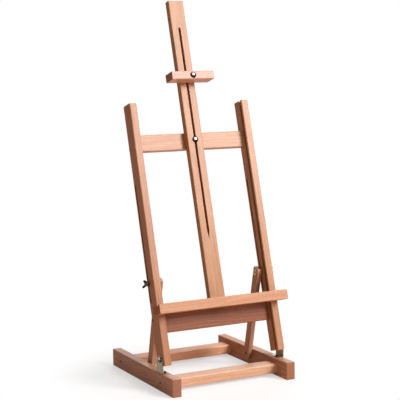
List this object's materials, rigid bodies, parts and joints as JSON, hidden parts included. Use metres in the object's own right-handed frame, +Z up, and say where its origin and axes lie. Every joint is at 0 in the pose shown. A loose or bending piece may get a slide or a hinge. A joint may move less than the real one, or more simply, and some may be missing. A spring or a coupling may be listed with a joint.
{
  "type": "artist easel",
  "caption": "Wooden table easel: a flat base carries a leaning frame with a slotted mast, canvas clamp, sliding tray and folding struts held by wing screws.",
  "frame": {"origin": "centre of the base's footprint on the surface it stands on", "axes": "+X to the right of somebody who faces the easel's front, +Y to the rear, +Z up"},
  "size_m": [0.3904, 0.391, 1.0161],
  "materials": {
    "rail_wood": "planed hardwood, thin clear varnish, darkened grain",
    "cross_wood": "planed hardwood, thin clear varnish",
    "upright_wood": "planed hardwood, thin clear varnish",
    "crossbar_wood": "planed hardwood, thin clear varnish",
    "mast_wood": "planed hardwood, thin clear varnish",
    "clamp_wood": "planed hardwood, thin clear varnish",
    "tray_wood": "planed hardwood, thin clear varnish",
    "strut_wood": "planed hardwood, thin clear varnish",
    "bracket_steel": "yellow-passivated zinc, satin",
    "black_steel": "black oxide, semi-gloss",
    "bolt_steel": "antique zinc, satin",
    "bronze_steel": "dark bronze plating, worn at the edges",
    "insert_brass": "polished brass, dulled"
  },
  "bodies": {
    "base": {"left_side_rail": "rail_wood", "right_side_rail": "rail_wood", "front_cross_rail": "cross_wood", "rear_cross_rail": "cross_wood", "rail_screws": "black_steel", "left_pivot_bracket": "bracket_steel", "right_pivot_bracket": "bracket_steel", "bracket_foot_screws": "black_steel", "left_pivot_bolt": "black_steel", "right_pivot_bolt": "black_steel", "pivot_nuts": "bracket_steel", "strut_pivot_screws": "black_steel", "strut_spacers": "bracket_steel"},
    "h_frame": {"left_upright": "upright_wood", "right_upright": "upright_wood", "upper_crossbar": "crossbar_wood", "lower_crossbar": "crossbar_wood", "crossbar_screws": "black_steel", "mast_bolt": "bolt_steel", "mast_washer": "bolt_steel"},
    "mast": {"mast": "mast_wood"},
    "clamp": {"canvas_clamp": "clamp_wood", "clamp_bolt": "bolt_steel", "clamp_washer": "bolt_steel"},
    "clamp_nut": {"clamp_wing_nut": "bronze_steel"},
    "mast_nut": {"mast_wing_nut": "bronze_steel"},
    "tray": {"tray_shelf": "tray_wood", "tray_lip": "tray_wood", "left_tray_guide": "tray_wood", "right_tray_guide": "tray_wood", "tray_screws": "black_steel"},
    "left_strut": {"left_strut": "strut_wood", "left_insert_nut": "insert_brass"},
    "right_strut": {"right_strut": "strut_wood", "right_insert_nut": "insert_brass"},
    "left_slider": {"left_slot_washer": "bronze_steel"},
    "right_slider": {"right_slot_washer": "bronze_steel"},
    "left_wing": {"left_wing_screw": "bronze_steel"},
    "right_wing": {"right_wing_screw": "bronze_steel"}
  },
  "joints": [
    {"name": "frame_tilt", "type": "hinge", "parent": "base", "child": "h_frame", "pos_m": [0, -0.1231, 0.08431], "axis": [-1, 0, 0], "range_deg": [-6, 74.4]},
    {"name": "mast_slide", "type": "slide", "parent": "h_frame", "child": "mast", "axis": [0, 0.2689, 0.9632], "range_m": [-0.08, 0.24]},
    {"name": "clamp_slide", "type": "slide", "parent": "mast", "child": "clamp", "axis": [0, 0.2689, 0.9632], "range_m": [-0.045, 0.14]},
    {"name": "tray_slide", "type": "slide", "parent": "h_frame", "child": "tray", "axis": [0, 0.2689, 0.9632], "range_m": [-0.09, 0.4]},
    {"name": "mast_nut_turn", "type": "hinge", "parent": "h_frame", "child": "mast_nut", "pos_m": [0, 0.05756, 0.62723], "axis": [0, 0.9632, -0.2689], "continuous": true},
    {"name": "clamp_nut_turn", "type": "hinge", "parent": "clamp", "child": "clamp_nut", "pos_m": [0, 0.08162, 0.79519], "axis": [0, 0.9632, -0.2689], "continuous": true},
    {"name": "left_strut_fold", "type": "hinge", "parent": "base", "child": "left_strut", "pos_m": [-0.14875, 0.0035, 0.0335], "axis": [-1, 0, 0], "range_deg": [-9, 98]},
    {"name": "left_slot_slide", "type": "slide", "parent": "h_frame", "child": "left_slider", "axis": [0, 0.2689, 0.9632], "range_m": [-0.016, 0.179]},
    {"name": "left_wing_turn", "type": "hinge", "parent": "left_slider", "child": "left_wing", "pos_m": [-0.185, -0.05596, 0.2727], "axis": [-1, 0, 0], "continuous": true},
    {"name": "right_strut_fold", "type": "hinge", "parent": "base", "child": "right_strut", "pos_m": [0.14875, 0.0035, 0.0335], "axis": [-1, 0, 0], "range_deg": [-9, 98]},
    {"name": "right_slot_slide", "type": "slide", "parent": "h_frame", "child": "right_slider", "axis": [0, 0.2689, 0.9632], "range_m": [-0.016, 0.179]},
    {"name": "right_wing_turn", "type": "hinge", "parent": "right_slider", "child": "right_wing", "pos_m": [0.185, -0.05596, 0.2727], "axis": [1, 0, 0], "continuous": true}
  ],
  "couplings": [
    {"joint": "left_strut_fold", "follows": "frame_tilt", "ratio": 1.2819},
    {"joint": "left_slot_slide", "follows": "frame_tilt", "m_per_rad": 0.13154},
    {"joint": "right_strut_fold", "follows": "frame_tilt", "ratio": 1.2819},
    {"joint": "right_slot_slide", "follows": "frame_tilt", "m_per_rad": 0.13154}
  ]
}
